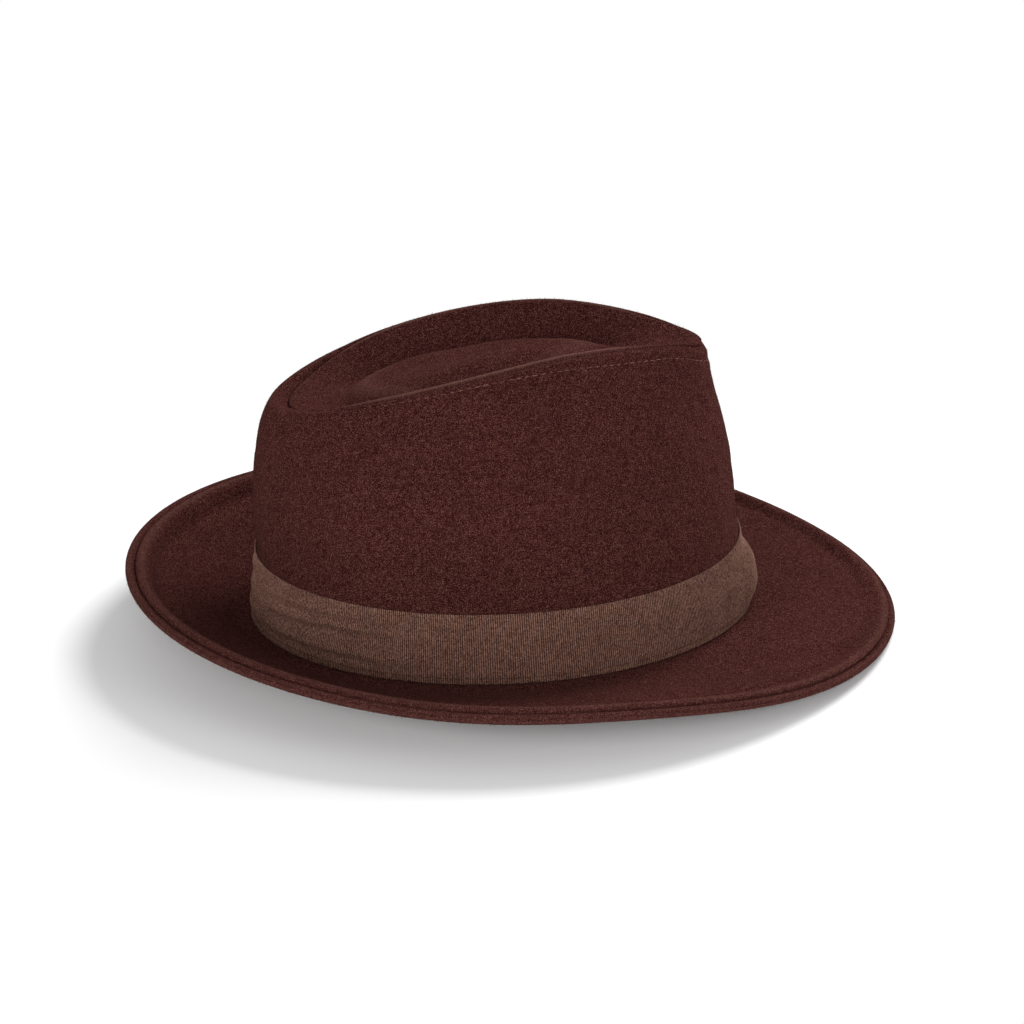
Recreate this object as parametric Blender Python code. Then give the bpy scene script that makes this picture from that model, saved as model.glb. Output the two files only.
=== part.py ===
"""A cut-and-sewn felt fedora with a teardrop crown, a ribbon hatband and a wired two-layer brim.

Hat frame: +X is the front, +Y the wearer's left, +Z up, and z = 0 is the middle of the brim at the head
opening. The sewn hat is then tipped by its rest angle, so that it stands on its front edge and on the back
of the head opening. All sizes below are in millimetres.
"""

import math

import bmesh
import bpy
from mathutils import Matrix, Vector

MM = 0.001
AROUND = 48  # sections round the hat

# Cloth thicknesses and the gap that sewn neighbours keep
FELT = 1.5
BRIM_FELT = 1.1
STIFFENER = 0.4
LINING = 0.4
SWEATBAND = 1.0
RIBBON = 0.6
GAP = 0.3

# Head opening: the outside of the felt at the brim
HEAD_HALF_LENGTH = 105.2
HEAD_HALF_WIDTH = 86.2

# Crown wall at the top of the hatband
HATBAND_HEIGHT = 29.5
HATBAND_LEVEL_FRONT = 100.5
HATBAND_LEVEL_BACK = 102.8
HATBAND_LEVEL_HALF_WIDTH = 86.0

# Ridge of the crown, where the tip panel is sewn to the side panel
RIDGE_FRONT = 82.0
RIDGE_BACK = 90.0
RIDGE_HALF_WIDTH = 58.0
RIDGE_FRONT_PINCH = 0.52  # share of the width that the teardrop loses at the front
ROOF_HEIGHT = 119.8
ROOF_PEAK_X = 30.0
ROOF_DROP_AT_BACK = 25.3
ROOF_DROP_AT_FRONT = 6.3
WALL_BULGE_SIDE = 5.0
WALL_BULGE_END = 2.0
RIDGE_ROLL = 3.6  # half width of the rounded ridge
RIDGE_ROLL_DROP = 1.2
SHOULDER_DROP = 13.0
SHOULDER_OUT_SIDE = 10.0
SHOULDER_OUT_FRONT = 5.0
SHOULDER_OUT_BACK = 9.0

# Teardrop crease of the tip panel: a moat round a raised island
MOAT_DEPTH_SIDE = 20.0
MOAT_DEPTH_END = 9.0
ISLAND_DROP = 5.0
LIP_SHARE = 0.84  # share of the way out from the middle to the ridge
MOAT_SHARE = 0.70
FLANK_SHARE = 0.44
ISLAND_SHARE = 0.22

# Brim
BRIM_HALF_LENGTH = 161.6
BRIM_HALF_WIDTH = 147.8
BRIM_FORWARD = 5.2  # how far the brim's middle lies in front of the head opening's
EDGE_RISE_FRONT = -3.4
EDGE_RISE_SIDE = 13.7
EDGE_RISE_BACK = 29.7
SIDE_CURL = 4.5  # how far each side of the edge curls up
SIDE_CURL_AT = 76.0  # degrees round from the front
SIDE_CURL_SPREAD = 16.0
SEAT_WIDTH = 7.0  # flat ring of the brim round the head opening
BRIM_HALF_THICKNESS = BRIM_FELT + GAP + STIFFENER / 2
EDGE_WIRE_RADIUS = 0.5
EDGE_ROLL = EDGE_WIRE_RADIUS + GAP + BRIM_FELT  # half thickness of the rolled edge over its wire
EDGE_WIRE_INSET = EDGE_ROLL + 0.1
STITCH_INSET = 5.0
STITCH_SHOULDER = 1.6  # how far each side of the stitch line the cloth swells back
PUFF_INSET = 9.0
PUFF_RISE = 0.15
FLAT_INSET = 13.0

# Sweatband, lining and bow
SWEATBAND_HEIGHT = 34.0
BOW_LENGTH = 66.0
BOW_HEIGHT = 24.0
BOW_SLOT = 1.2  # room between the two plies of a bow loop
KEEPER_LENGTH = 13.0
TAIL_LENGTH = 44.0
TAIL_SLANT = 9.0

WALL_BOTTOM = BRIM_HALF_THICKNESS + GAP

FELT_COLOUR = (0.054, 0.017, 0.015)
RIBBON_COLOUR = (0.095, 0.047, 0.034)
LINING_COLOUR = (0.030, 0.016, 0.013)
SWEATBAND_COLOUR = (0.026, 0.013, 0.011)
STIFFENER_COLOUR = (0.62, 0.60, 0.55)
WIRE_COLOUR = (0.45, 0.45, 0.46)


def material(name, colour, roughness, metallic=0.0):
    made = bpy.data.materials.new(name)
    made.use_nodes = True
    shader = made.node_tree.nodes["Principled BSDF"]
    shader.inputs["Base Color"].default_value = (*colour, 1.0)
    shader.inputs["Roughness"].default_value = roughness
    shader.inputs["Metallic"].default_value = metallic
    return made


def blend(a, b, share):
    return a + (b - a) * share


def by_side(angle, front, side, back):
    """A size that changes smoothly from front to side to back."""
    c = math.cos(angle)
    return blend(side, front if c > 0 else back, c * c)


def oval(angle, front, back, half_width):
    """A point of an oval that reaches front at +X, back at -X and half_width at each side."""
    middle = (front - back) / 2
    return Vector((middle + (front + back) / 2 * math.cos(angle), half_width * math.sin(angle), 0))


def head_oval(angle):
    return oval(angle, HEAD_HALF_LENGTH, HEAD_HALF_LENGTH, HEAD_HALF_WIDTH)


def ridge_oval(angle):
    """The teardrop plan of the ridge, narrower towards the front."""
    point = oval(angle, RIDGE_FRONT, RIDGE_BACK, RIDGE_HALF_WIDTH)
    forward = (1 + math.cos(angle)) / 2
    point.y *= 1 - RIDGE_FRONT_PINCH * forward * forward
    return point


def across_ridge(angle):
    """Outward direction square to the ridge's plan."""
    step = 0.01
    run = ridge_oval(angle + step) - ridge_oval(angle - step)
    return Vector((run.y, -run.x, 0)).normalized()


def roof(x):
    """Height of the ridge above the brim: highest ahead of the middle, falling to the back."""
    if x > ROOF_PEAK_X:
        return ROOF_HEIGHT - ROOF_DROP_AT_FRONT * ((x - ROOF_PEAK_X) / (RIDGE_FRONT - ROOF_PEAK_X)) ** 2
    return ROOF_HEIGHT - ROOF_DROP_AT_BACK * ((ROOF_PEAK_X - x) / (RIDGE_BACK + ROOF_PEAK_X)) ** 1.6


def moat_depth(angle):
    return by_side(angle, MOAT_DEPTH_END, MOAT_DEPTH_SIDE, MOAT_DEPTH_END)


def crown_line(angle):
    """The points that one line of the crown passes, from the brim over the ridge to the middle of the tip."""
    ridge = ridge_oval(angle)
    ridge.z = roof(ridge.x)
    band = oval(angle, HATBAND_LEVEL_FRONT, HATBAND_LEVEL_BACK, HATBAND_LEVEL_HALF_WIDTH)
    band.z = WALL_BOTTOM + HATBAND_HEIGHT
    out = Vector((math.cos(angle), math.sin(angle), 0))
    bottom = head_oval(angle)
    bottom.z = WALL_BOTTOM
    shoulder = ridge + out * by_side(angle, SHOULDER_OUT_FRONT, SHOULDER_OUT_SIDE, SHOULDER_OUT_BACK)
    shoulder.z -= SHOULDER_DROP
    bulge = by_side(angle, WALL_BULGE_END, WALL_BULGE_SIDE, WALL_BULGE_END)
    wall = blend(band, shoulder, 0.5) + out * bulge
    roll = across_ridge(angle) * RIDGE_ROLL
    fall = Vector((0, 0, RIDGE_ROLL_DROP))
    points = [bottom, band, wall, shoulder, ridge + roll - fall, ridge, ridge - roll - fall]
    moat = moat_depth(angle)
    drops = (
        (LIP_SHARE, 0.5 * moat),
        (MOAT_SHARE, moat),
        (FLANK_SHARE, blend(moat, ISLAND_DROP, 0.72)),
        (ISLAND_SHARE, ISLAND_DROP),
        (0.0, ISLAND_DROP),
    )
    middle = Vector(((RIDGE_FRONT - RIDGE_BACK) / 2, 0, 0))
    for share, drop in drops:
        point = middle + (ridge - middle) * share
        point.z = roof(point.x) - drop
        points.append(point)
    return points


RIDGE_AT = 5  # place of the ridge in crown_line's points
MIDDLE_AT = 11


def along(points, place):
    """A point of the smooth curve through the points; a whole place is one of them."""
    last = len(points) - 1
    i = min(int(place), last - 1)
    t = place - i
    start, end = points[i], points[i + 1]
    before = points[i - 1] if i > 0 else start * 2 - end
    after = points[i + 2] if i + 2 <= last else end * 2 - start
    span = (end - start).length
    lead = (end - before) * (span / ((start - before).length + span))
    follow = (after - start) * (span / ((after - end).length + span))
    return (
        start * (2 * t**3 - 3 * t**2 + 1)
        + lead * (t**3 - 2 * t**2 + t)
        + end * (3 * t**2 - 2 * t**3)
        + follow * (t**3 - t**2)
    )


def crown(angle, place):
    return along(crown_line(angle), place)


def crown_normal(angle, place):
    """Outward normal of the crown, from its slopes round and up."""
    step = 0.01
    low, high = max(place - step, 0.0), min(place + step, MIDDLE_AT - 0.001)
    up = crown(angle, high) - crown(angle, low)
    around = crown(angle + step, place) - crown(angle - step, place)
    return around.cross(up).normalized()


def under_crown(angle, place, depth):
    """The point that lies depth inside the crown's outer face."""
    return crown(angle, place) - crown_normal(angle, place) * depth


def place_at_height(angle, height):
    """Place on the wall at a height over the brim, found by halving."""
    low, high = 0.0, float(RIDGE_AT)
    for _ in range(24):
        middle = (low + high) / 2
        low, high = (middle, high) if crown(angle, middle).z < height else (low, middle)
    return low


def angles():
    """Section angles, with a whole facet across the front and the back."""
    return [math.tau * (i + 0.5) / AROUND for i in range(AROUND)]


def edge_rise(angle):
    """Height of the brim's edge: low in front, high at the back, from the three driving rises."""
    tilt = (EDGE_RISE_FRONT - EDGE_RISE_BACK) / 2
    level = (EDGE_RISE_FRONT + EDGE_RISE_BACK) / 2
    c = math.cos(angle)
    off = (math.acos(c) - math.radians(SIDE_CURL_AT)) / math.radians(SIDE_CURL_SPREAD)
    return blend(EDGE_RISE_SIDE, level, c * c) + tilt * c + SIDE_CURL * math.exp(-off * off / 2)


def brim_point(angle, inset, height):
    """A point of the brim: inset from its edge towards the head opening, height over its middle surface."""
    edge = oval(angle, BRIM_HALF_LENGTH + BRIM_FORWARD, BRIM_HALF_LENGTH - BRIM_FORWARD, BRIM_HALF_WIDTH)
    inner = head_oval(angle)
    rise = edge_rise(angle)
    flat = (edge - inner).length
    share = 1 - inset / flat
    climb = max(0.0, (share - SEAT_WIDTH / flat) / (1 - SEAT_WIDTH / flat))
    point = blend(inner, edge, share)
    point.z = rise * (0.45 * climb + 0.55 * climb * climb)
    slope = rise / flat * (0.45 + 1.1 * climb) if climb > 0 else 0.0
    away = (edge - inner).normalized()
    normal = (Vector((0, 0, 1)) - away * slope).normalized()
    return point + normal * height


def link_object(name, mesh, finish, parent):
    made = bpy.data.objects.new(name, mesh)
    made.data.materials.append(finish)
    made.parent = parent
    PARTS.objects.link(made)
    return made


def finished_mesh(name, work):
    """Turns a bmesh in millimetres into a smooth-shaded mesh in metres with its faces pointing out.

    Its four-sided faces are split along the shorter diagonal, so that the faces of neighbouring layers match.
    """
    bmesh.ops.triangulate(work, faces=work.faces, quad_method="SHORT_EDGE")
    bmesh.ops.recalc_face_normals(work, faces=work.faces)
    bmesh.ops.scale(work, vec=(MM, MM, MM), verts=work.verts)
    mesh = bpy.data.meshes.new(name)
    work.to_mesh(mesh)
    work.free()
    mesh.shade_smooth()
    mesh.set_sharp_from_angle(angle=math.radians(40))
    return mesh


def loft(name, sections, finish, parent, closed=True):
    """A solid through closed sections; a closed one runs on from the last section to the first."""
    work = bmesh.new()
    rows = [[work.verts.new(point) for point in section] for section in sections]
    pairs = list(zip(rows, rows[1:] + rows[:1])) if closed else list(zip(rows, rows[1:]))
    for first, second in pairs:
        count = len(first)
        for i in range(count):
            j = (i + 1) % count
            work.faces.new((first[i], first[j], second[j], second[i]))
    if not closed:
        work.faces.new(rows[0])
        work.faces.new(rows[-1])
    return link_object(name, finished_mesh(name, work), finish, parent)


def dome(name, outer_rows, inner_rows, outer_middle, inner_middle, finish, parent):
    """A round panel: rings of points for its two faces, each closed at its middle, joined at the rim."""
    work = bmesh.new()
    faces = []
    for rings, middle in ((outer_rows, outer_middle), (inner_rows, inner_middle)):
        rows = [[work.verts.new(point) for point in ring] for ring in rings]
        centre = work.verts.new(middle)
        faces.append(rows)
        for first, second in zip(rows, rows[1:]):
            for i in range(len(first)):
                j = (i + 1) % len(first)
                work.faces.new((first[i], first[j], second[j], second[i]))
        last = rows[-1]
        for i in range(len(last)):
            work.faces.new((last[i], last[(i + 1) % len(last)], centre))
    top, under = faces[0][0], faces[1][0]
    for i in range(len(top)):
        j = (i + 1) % len(top)
        work.faces.new((top[i], top[j], under[j], under[i]))
    return link_object(name, finished_mesh(name, work), finish, parent)


def wall_panel(name, places, depth, thickness, finish, parent):
    """A ring of cloth that follows the crown wall, between two depths inside its outer face."""
    sections = []
    for angle in angles():
        outer = [under_crown(angle, place, depth) for place in places(angle)]
        inner = [under_crown(angle, place, depth + thickness) for place in places(angle)]
        sections.append(outer + inner[::-1])
    return loft(name, sections, finish, parent)


def tip_panel(name, places, depth, thickness, finish, parent):
    """A round panel that follows the crown's tip, between two depths inside its outer face."""
    rows = {}
    for level in (depth, depth + thickness):
        rows[level] = [[under_crown(angle, place, level) for angle in angles()] for place in places]
    middle = crown(0.0, MIDDLE_AT)
    return dome(
        name,
        rows[depth],
        rows[depth + thickness],
        middle - Vector((0, 0, depth)),
        middle - Vector((0, 0, depth + thickness)),
        finish,
        parent,
    )


SEAM_SHARE = 0.06  # half the seam's gap, as a share of the step from the ridge to its neighbour point
WALL_PLACES = (0.0, 0.5, 1.0, 1.5, 2.0, 2.5, 3.0, 3.6, 4.0, RIDGE_AT - SEAM_SHARE)
TIP_PLACES = (RIDGE_AT + SEAM_SHARE, 6.0, 7.0, 7.5, 8.0, 8.5, 9.0, 10.0)


def make_crown(felt, lining, parent):
    wall_panel("crown_side_panel", lambda angle: WALL_PLACES, 0.0, FELT, felt, parent)
    tip_panel("crown_tip_panel", TIP_PLACES, 0.0, FELT, felt, parent)
    tucked = WALL_PLACES[1:]
    wall_panel("lining_side_panel", lambda angle: tucked, FELT + GAP, LINING, lining, parent)
    tip_panel("lining_tip_panel", TIP_PLACES, FELT + GAP, LINING, lining, parent)


def make_hatband(ribbon, parent):
    def places(angle):
        low = WALL_BOTTOM + GAP
        heights = [blend(low, low + HATBAND_HEIGHT, share) for share in (0.0, 0.33, 0.67, 1.0)]
        return [place_at_height(angle, height) for height in heights]

    wall_panel("hatband_ribbon", places, -(GAP + RIBBON), RIBBON, ribbon, parent)


def make_sweatband(cloth, parent):
    """The inner band that meets the forehead, sewn in at the brim and standing up inside the lining."""
    inside = FELT + GAP + LINING + 2 * GAP
    sections = []
    for angle in angles():
        heights = [blend(WALL_BOTTOM, SWEATBAND_HEIGHT, share) for share in (0.0, 0.33, 0.67, 1.0)]
        places = [place_at_height(angle, height) for height in heights]
        outer = [under_crown(angle, place, inside) for place in places]
        inner = [under_crown(angle, place, inside + SWEATBAND) for place in places]
        foot_drop = Vector((0, 0, WALL_BOTTOM + BRIM_HALF_THICKNESS - GAP))
        outer.insert(0, outer[0] - foot_drop)
        inner.insert(0, inner[0] - foot_drop)
        sections.append(outer + inner[::-1])
    return loft("sweatband", sections, cloth, parent)


def brim_profile(angle):
    """(inset, half thickness) along the brim's face, from the head opening to the rolled edge."""
    edge = oval(angle, BRIM_HALF_LENGTH + BRIM_FORWARD, BRIM_HALF_LENGTH - BRIM_FORWARD, BRIM_HALF_WIDTH)
    width = (edge - head_oval(angle)).length
    under_wall = FELT + GAP + LINING
    return [
        (width + under_wall, BRIM_HALF_THICKNESS),
        (width - SEAT_WIDTH, BRIM_HALF_THICKNESS),
        (blend(width - SEAT_WIDTH, FLAT_INSET, 0.5), BRIM_HALF_THICKNESS),
        (FLAT_INSET, BRIM_HALF_THICKNESS),
        (PUFF_INSET, BRIM_HALF_THICKNESS + PUFF_RISE),
        (STITCH_INSET + STITCH_SHOULDER, BRIM_HALF_THICKNESS),
        (STITCH_INSET, BRIM_FELT + GAP / 2),
        (STITCH_INSET - STITCH_SHOULDER, EDGE_ROLL - GAP / 2),
        (EDGE_ROLL, EDGE_ROLL),
        (0.3 * EDGE_ROLL, 0.72 * EDGE_ROLL),
        (0.0, GAP / 2),
    ]


def make_brim(felt, stiffening, steel, parent):
    for name, side in (("brim_top_layer", 1), ("brim_under_layer", -1)):
        sections = []
        for angle in angles():
            profile = brim_profile(angle)
            face = [brim_point(angle, inset, side * half) for inset, half in profile]
            back = [brim_point(angle, inset, side * (half - BRIM_FELT)) for inset, half in profile[:-2]]
            back.append(brim_point(angle, BRIM_FELT, side * GAP / 2))
            sections.append(face + back[::-1])
        loft(name, sections, felt, parent)

    sheet = []
    for angle in angles():
        insets = [inset for inset, _ in brim_profile(angle)[:5]]
        insets.append(STITCH_INSET + STITCH_SHOULDER + GAP)
        upper = [brim_point(angle, inset, STIFFENER / 2) for inset in insets]
        lower = [brim_point(angle, inset, -STIFFENER / 2) for inset in insets]
        sheet.append(upper + lower[::-1])
    loft("brim_stiffener", sheet, stiffening, parent)

    wire = []
    for angle in angles():
        turns = [math.tau * i / 6 for i in range(6)]
        wire.append(
            [
                brim_point(
                    angle,
                    EDGE_WIRE_INSET + EDGE_WIRE_RADIUS * math.cos(turn),
                    EDGE_WIRE_RADIUS * math.sin(turn),
                )
                for turn in turns
            ]
        )
    loft("brim_edge_wire", wire, steel, parent)


BOW_ANGLE = math.pi / 2  # the wearer's left


def on_hatband(run, height, lift):
    """A point over the hatband's face at the bow: run forward along it, height over the brim, lift out."""
    reach = HATBAND_LEVEL_FRONT
    angle = BOW_ANGLE - run / reach
    place = place_at_height(angle, height)
    return crown(angle, place) + crown_normal(angle, place) * (2 * GAP + RIBBON + lift)


LOOP_SHARES = (0.75, 0.5, 0.25, 0.0, -0.25, -0.5, -0.75)  # points along a straight of the bow's loop
TAIL_STEPS = 12


def flat_loop(half_length, plies):
    """Plan of a flattened loop of ribbon, as (run, lift) pairs of its outer and inner outlines."""
    outer_radius = plies / 2
    inner_radius = outer_radius - RIBBON
    outlines = []
    for radius in (outer_radius, inner_radius):
        outline = []
        for end in (1, -1):
            for i in range(5):
                turn = math.pi * (i / 4 - 0.5)
                run = end * (half_length - outer_radius + radius * math.cos(turn))
                outline.append((run, outer_radius + end * radius * math.sin(turn)))
            middle_lift = outer_radius + end * radius
            outline += [(end * half_length * share, middle_lift) for share in LOOP_SHARES]
        outlines.append(outline)
    return outlines


def make_bow(ribbon, parent):
    """A flat bow over the ribbon's join: a tail against the hatband, a loop on it and a keeper round both."""
    mid_height = WALL_BOTTOM + GAP + HATBAND_HEIGHT / 2
    low, high = mid_height - BOW_HEIGHT / 2, mid_height + BOW_HEIGHT / 2

    keeper_lift = 0.0
    tail_lift = keeper_lift + RIBBON + GAP
    loop_lift = tail_lift + RIBBON + GAP
    loop_depth = 2 * RIBBON + BOW_SLOT

    tail = []
    for share in (i / TAIL_STEPS for i in range(TAIL_STEPS + 1)):
        section = []
        for height, slant in ((low, 0.0), (mid_height, 0.5), (high, 1.0)):
            run = blend(-TAIL_LENGTH - TAIL_SLANT * (1 - slant), TAIL_LENGTH / 2, share)
            section.append((run, height))
        face = [on_hatband(run, height, tail_lift + RIBBON) for run, height in section]
        back = [on_hatband(run, height, tail_lift) for run, height in section]
        tail.append(face + back[::-1])
    loft("bow_tail", tail, ribbon, parent, closed=False)

    outer, inner = flat_loop(BOW_LENGTH / 2, loop_depth)
    sections = []
    for (run_out, lift_out), (run_in, lift_in) in zip(outer, inner):
        heights = (low, mid_height, high)
        face = [on_hatband(run_out, height, loop_lift + lift_out) for height in heights]
        back = [on_hatband(run_in, height, loop_lift + lift_in) for height in heights]
        sections.append(face + back[::-1])
    loft("bow_loop", sections, ribbon, parent)

    half = KEEPER_LENGTH / 2
    top_lift = loop_lift + loop_depth + GAP
    around = [
        (low - GAP, keeper_lift + RIBBON, -1, 1),
        (mid_height, keeper_lift + RIBBON, 0, 1),
        (high + GAP, keeper_lift + RIBBON, 1, 1),
        (high + GAP, top_lift, 1, -1),
        (mid_height, top_lift, 0, -1),
        (low - GAP, top_lift, -1, -1),
    ]
    sections = []
    for height, lift, outward, inward in around:
        inside = [on_hatband(run, height, lift) for run in (-half, 0.0, half)]
        outside = [
            on_hatband(run, height + outward * RIBBON, lift - inward * RIBBON) for run in (half, 0.0, -half)
        ]
        sections.append(inside + outside)
    loft("bow_keeper", sections, ribbon, parent)


def rest_pose():
    """Tips the hat onto its front edge and the back of its head opening, over the middle of its outline."""
    front = Vector((BRIM_HALF_LENGTH + BRIM_FORWARD - EDGE_ROLL, 0, EDGE_RISE_FRONT - EDGE_ROLL))
    back = Vector((-HEAD_HALF_LENGTH - SEAT_WIDTH, 0, -BRIM_HALF_THICKNESS))
    tip = math.atan2(back.z - front.z, front.x - back.x)
    turned = Matrix.Rotation(-tip, 4, "Y")
    floor = min((turned @ front).z, (turned @ back).z)
    return Matrix.Translation(Vector((-BRIM_FORWARD, 0, -floor)) * MM) @ turned


def clear_scene():
    for old in list(bpy.data.objects):
        bpy.data.objects.remove(old)


clear_scene()
PARTS = bpy.data.collections.new("fedora")
bpy.context.scene.collection.children.link(PARTS)

hat = bpy.data.objects.new("hat_at_rest", None)
hat.matrix_world = rest_pose()
PARTS.objects.link(hat)

felt_finish = material("wool_felt", FELT_COLOUR, 0.95)
ribbon_finish = material("ribbon", RIBBON_COLOUR, 0.6)
lining_finish = material("satin_lining", LINING_COLOUR, 0.4)
sweatband_finish = material("sweatband_twill", SWEATBAND_COLOUR, 0.8)
stiffener_finish = material("stiffener", STIFFENER_COLOUR, 0.9)
wire_finish = material("edge_wire", WIRE_COLOUR, 0.35, metallic=1.0)

make_crown(felt_finish, lining_finish, hat)
make_hatband(ribbon_finish, hat)
make_sweatband(sweatband_finish, hat)
make_brim(felt_finish, stiffener_finish, wire_finish, hat)
make_bow(ribbon_finish, hat)
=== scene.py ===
"""Looks of the felt fedora: felt panels with sewn seams, a grosgrain hatband with its bow, and the inside.

The sewn shapes are worked out from the part's dimensions, some of them trimmed closer to the photograph. Work
is in millimetres in the hat's own frame (+X front, +Y the wearer's left, +Z up from the middle of the brim),
and every mesh is then tipped into the row frame by the hat's rest pose.
"""

import math

import bpy
import numpy as np
from mathutils import Matrix, Vector


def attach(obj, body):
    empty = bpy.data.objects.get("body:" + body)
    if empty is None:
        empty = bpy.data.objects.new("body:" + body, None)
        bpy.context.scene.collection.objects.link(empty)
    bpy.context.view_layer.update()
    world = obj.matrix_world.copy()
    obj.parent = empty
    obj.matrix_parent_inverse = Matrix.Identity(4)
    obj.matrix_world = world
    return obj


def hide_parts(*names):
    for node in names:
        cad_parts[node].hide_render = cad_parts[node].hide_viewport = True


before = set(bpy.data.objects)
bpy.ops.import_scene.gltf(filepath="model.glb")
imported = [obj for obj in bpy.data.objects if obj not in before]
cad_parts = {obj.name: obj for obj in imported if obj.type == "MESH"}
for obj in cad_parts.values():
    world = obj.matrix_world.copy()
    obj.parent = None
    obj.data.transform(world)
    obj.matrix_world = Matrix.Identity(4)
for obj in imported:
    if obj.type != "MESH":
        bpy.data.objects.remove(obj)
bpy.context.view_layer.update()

MM = 0.001
TAU = math.tau

# Cloth thicknesses of the part, and the clearance between its cloths
FELT = 1.5
BRIM_FELT = 1.1
STIFFENER = 0.4
LINING = 0.4
RIBBON = 0.6
GAP = 0.3

# Thicknesses that the cloths are drawn with, a little under the part's
CROWN_PLY = 1.1
BRIM_PLY = 0.7
RIBBON_PLY = 0.5
LINING_PLY = 0.3
SWEATBAND_PLY = 0.8

# Head opening and hatband
HEAD_HALF_LENGTH = 105.2
HEAD_HALF_WIDTH = 86.2
HATBAND_HEIGHT = 29.5
HATBAND_LEVEL_FRONT = 100.5
HATBAND_LEVEL_BACK = 101.6
HATBAND_LEVEL_HALF_WIDTH = 86.0
SWEATBAND_HEIGHT = 34.0

# Crown wall and its ridge
RIDGE_FRONT = 81.6
RIDGE_BACK = 89.0
RIDGE_HALF_WIDTH = 58.0
RIDGE_FRONT_PINCH = 0.47  # share of the width that the teardrop loses at the front
RIDGE_ROLL = 3.6  # half width of the rounded ridge
RIDGE_ROLL_DROP = 1.2
ROOF_HEIGHT = 119.5
ROOF_PEAK_X = 30.0
ROOF_DROP_AT_BACK = 25.3
ROOF_DROP_AT_FRONT = 6.3
ROOF_CURVE_AT_BACK = 1.5  # power of the distance from the peak with which the roof falls
ROOF_CURVE_AT_FRONT = 2
WALL_BULGE_SIDE = 5.0
WALL_BULGE_FRONT = 1.4
WALL_BULGE_BACK = 2.0
SHOULDER_DROP = 13.0
SHOULDER_OUT_SIDE = 10.0
SHOULDER_OUT_FRONT = 7.4
SHOULDER_OUT_BACK = 9.0

# Dip of the tip: depths, and places as shares of the way out from its middle to the ridge
MOAT_DEPTH_SIDE = 20.0
MOAT_DEPTH_END = 9.0
LIP_DEPTH_SHARE = 0.5
ISLAND_DROP = 5.0
FLANK_CLIMB = 0.72  # share of the way up from the moat to the island
LIP_SHARE = 0.84
MOAT_SHARE = 0.70
FLANK_SHARE = 0.44
FLANK_SHARE_BACK = 0.61
ISLAND_SHARE = 0.22
ISLAND_SHARE_BACK = 0.44

# Seam between the crown's side and its tip
SEAM_IN_AT_BACK = 4.5
SEAM_IN_BETWEEN = (118, 168)  # degrees round from the front
SEAM_DOWN_AT_FRONT = 4.5
SEAM_DOWN_BETWEEN = (6, 38)

# Brim
BRIM_HALF_LENGTH = 160.8
BRIM_HALF_WIDTH = 147.8
BRIM_FORWARD = 5.2  # how far the brim's middle lies in front of the head opening's
EDGE_RISE_FRONT = -3.4
EDGE_RISE_SIDE = 14.8
EDGE_RISE_BACK = 29.7
SIDE_CURL = 4.5  # how far each side of the edge curls up
SIDE_CURL_AT = 73.0  # degrees round from the front
SIDE_CURL_SPREAD = 16.0
SEAT_WIDTH = 7.0  # flat ring of the brim round the head opening
BRIM_HALF_THICKNESS = BRIM_FELT + GAP + STIFFENER / 2
WALL_BOTTOM = BRIM_HALF_THICKNESS + GAP

# The part's own brim edge, which sets how the hat rests
PART_HALF_LENGTH = 161.6
EDGE_ROLL = 1.9

# Bow
BOW_LENGTH = 66.0
BOW_HEIGHT = 24.0
KEEPER_LENGTH = 13.0
TAIL_LENGTH = 44.0
TAIL_SLANT = 9.0

# Places of the ridge and of the tip's middle among crown_line's points
RIDGE_AT = 5
MIDDLE_AT = 11

# Camera that took the photograph's view: degrees, millimetres, and pixels of the photograph
CAMERA_AZIMUTH = -1.73
CAMERA_ELEVATION = 21.24
CAMERA_ROLL = -0.89
CAMERA_DISTANCE = 900.0
CAMERA_TARGET = (-4.0, 0.0, 40.1)
CAMERA_SHIFT = (3.91, 2.96)
FOCAL_PIXELS = 2143.3
FRAME_PIXELS = 1024
SENSOR = 36.0
CLIP_START = 0.01  # metres


def blend(a, b, share):
    return a + (b - a) * share


def smooth(value, low, high):
    t = np.clip((value - low) / (high - low), 0, 1)
    return t * t * (3 - 2 * t)


def bell(value, middle, spread):
    return np.exp(-(((value - middle) / spread) ** 2))


def unit(v):
    return v / np.maximum(np.linalg.norm(v, axis=-1, keepdims=True), 1e-9)


def by_side(angle, front, side, back):
    c = np.cos(angle)
    return blend(side, np.where(c > 0, front, back), c * c)


def oval(angle, front, back, half_width):
    x = (front - back) / 2 + (front + back) / 2 * np.cos(angle)
    return np.stack([x, half_width * np.sin(angle), np.zeros_like(angle)], -1)


def head_oval(angle):
    return oval(angle, HEAD_HALF_LENGTH, HEAD_HALF_LENGTH, HEAD_HALF_WIDTH)


def ridge_oval(angle):
    point = oval(angle, RIDGE_FRONT, RIDGE_BACK, RIDGE_HALF_WIDTH)
    forward = (1 + np.cos(angle)) / 2
    point[..., 1] *= 1 - RIDGE_FRONT_PINCH * forward**2
    return point


def across_ridge(angle):
    step = 0.01
    run = ridge_oval(angle + step) - ridge_oval(angle - step)
    return unit(np.stack([run[..., 1], -run[..., 0], np.zeros_like(angle)], -1))


def roof(x):
    ahead = np.clip((x - ROOF_PEAK_X) / (RIDGE_FRONT - ROOF_PEAK_X), 0, None)
    behind = np.clip((ROOF_PEAK_X - x) / (RIDGE_BACK + ROOF_PEAK_X), 0, None)
    front_fall = ROOF_DROP_AT_FRONT * ahead**ROOF_CURVE_AT_FRONT
    back_fall = ROOF_DROP_AT_BACK * behind**ROOF_CURVE_AT_BACK
    return ROOF_HEIGHT - front_fall - back_fall


def flank_share(angle):
    """How far out from the tip's middle its raised island ends, which is further towards the back."""
    return by_side(angle, FLANK_SHARE, FLANK_SHARE, FLANK_SHARE_BACK)


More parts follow.
